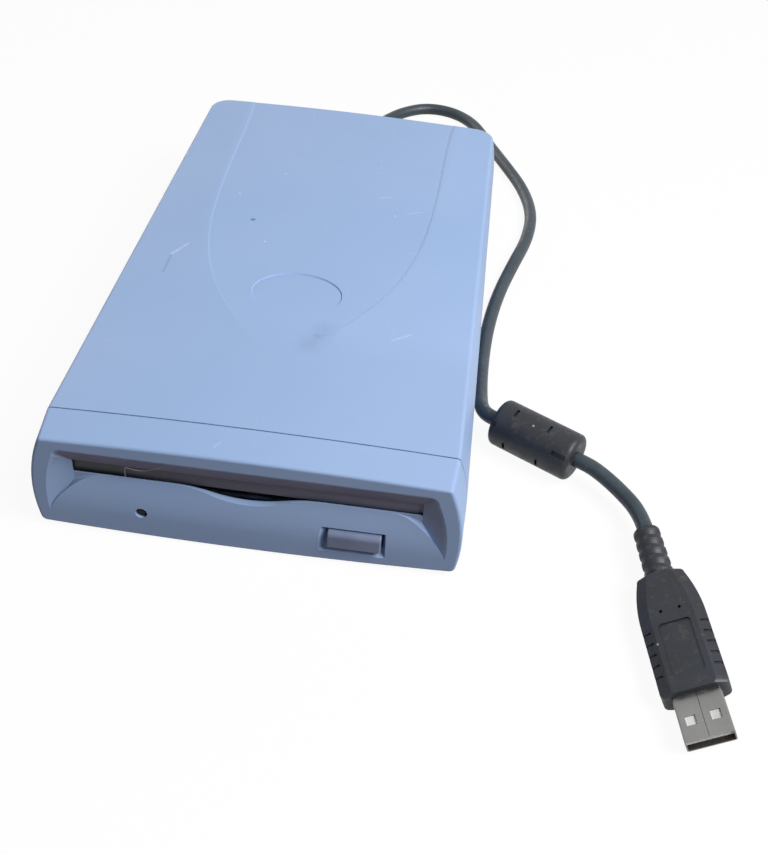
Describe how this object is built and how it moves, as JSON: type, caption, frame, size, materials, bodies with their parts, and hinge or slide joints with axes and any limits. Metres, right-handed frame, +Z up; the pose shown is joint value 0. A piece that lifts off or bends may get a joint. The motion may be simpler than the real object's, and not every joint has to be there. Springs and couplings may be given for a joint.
{
  "type": "external floppy disk drive",
  "caption": "Slim box-shaped disk drive with a crowned cover, a bezel with a funnel-shaped disk slot and eject button, and a short cord with a flat plug.",
  "frame": {"origin": "bottom centre of the drive, between its four rubber feet", "axes": "+Z up, -Y towards the bezel with the disk slot, +X to the right seen from the front"},
  "size_m": [0.1813, 0.3082, 0.0341],
  "materials": {
    "case_plastic": "satin silver blue",
    "dark_plastic": "satin",
    "lens_plastic": "smooth",
    "rubber": "matt",
    "steel": "zinc plated",
    "bright_steel": "polished",
    "board": "solder mask",
    "copper": "enamelled wire",
    "magnet": "bonded ferrite",
    "moulding": "filled plastic",
    "white_plastic": "smooth",
    "ceramic": "lapped",
    "flex": "film",
    "cord_jacket": "satin",
    "plug_moulding": "fine grain",
    "plug_steel": "nickel plated",
    "gold": "gold flash"
  },
  "bodies": {
    "enclosure": {"top_cover": "case_plastic", "bottom_case": "case_plastic", "front_bezel": "case_plastic", "door_spring": "bright_steel", "led_lens": "lens_plastic", "led_diode": "white_plastic", "rubber_feet": "rubber", "case_screws": "steel", "drive_screws": "steel", "drive_frame": "steel", "drive_cover": "steel", "eject_spring": "bright_steel", "spring_post": "steel", "motor_board": "board", "motor_coils": "copper", "spindle_bearing": "gold", "stepper_motor": "steel", "stepper_bracket": "steel", "screw_pivot": "moulding", "guide_rod": "bright_steel", "rod_clamps": "moulding", "logic_board": "board", "sensor_switches": "moulding", "ribbon_cable": "flex", "bridge_board": "board", "board_screws": "steel", "cord_connector": "white_plastic", "cable_gland": "cord_jacket", "usb_cord": "cord_jacket", "ferrite_core": "plug_moulding", "plug_strain_relief": "cord_jacket", "plug_overmould": "plug_moulding", "plug_shell": "plug_steel", "plug_insulator": "white_plastic", "plug_contacts": "gold"},
    "eject_slider": {"slide_plate": "steel", "eject_button": "dark_plastic"},
    "disk_cradle": {"disk_holder": "steel", "holder_rollers": "steel", "lever_stud": "steel", "lever_spring": "bright_steel"},
    "shutter_arm": {"shutter_lever": "steel"},
    "entry_door": {"slot_door": "dark_plastic"},
    "spindle": {"spindle_rotor": "steel", "chucking_magnet": "magnet", "drive_pin": "bright_steel"},
    "carriage": {"head_carriage": "moulding", "lower_head": "ceramic"},
    "head_arm": {"upper_head_arm": "moulding", "upper_head": "ceramic"},
    "screw_shaft": {"lead_screw": "bright_steel"}
  },
  "joints": [
    {"name": "eject_slide", "type": "slide", "parent": "enclosure", "child": "eject_slider", "axis": [0, -1, 0], "range_m": [0, 0.005]},
    {"name": "cradle_drop", "type": "slide", "parent": "enclosure", "child": "disk_cradle", "axis": [0, 0, -1], "range_m": [0, 0.002]},
    {"name": "shutter_lever_turn", "type": "hinge", "parent": "disk_cradle", "child": "shutter_arm", "pos_m": [0.038, 0.01, 0.0247], "axis": [0, 0, -1], "range_deg": [0, 55], "stiffness_Nm_per_rad": 0.002, "springref_deg": -11.46},
    {"name": "door_swing", "type": "hinge", "parent": "enclosure", "child": "entry_door", "pos_m": [0, -0.0894, 0.0253], "axis": [1, 0, 0], "range_deg": [0, 80], "stiffness_Nm_per_rad": 0.001, "springref_deg": -11.46},
    {"name": "spindle_spin", "type": "hinge", "parent": "enclosure", "child": "spindle", "pos_m": [0, -0.039, 0.012], "axis": [0, 0, 1], "continuous": true},
    {"name": "head_travel", "type": "slide", "parent": "enclosure", "child": "carriage", "axis": [0, -1, 0], "range_m": [0, 0.0148]},
    {"name": "screw_spin", "type": "hinge", "parent": "enclosure", "child": "screw_shaft", "pos_m": [0.015, 0, 0.014], "axis": [0, -1, 0], "range_deg": [0, 1422]},
    {"name": "head_arm_lower", "type": "hinge", "parent": "carriage", "child": "head_arm", "pos_m": [0, 0.037, 0.0226], "axis": [1, 0, 0], "range_deg": [0, 5.8]}
  ],
  "couplings": [
    {"joint": "cradle_drop", "follows": "eject_slide", "ratio": 0.4},
    {"joint": "head_arm_lower", "follows": "eject_slide", "rad_per_m": 20.246},
    {"joint": "screw_spin", "follows": "head_travel", "rad_per_m": 1675.5}
  ]
}
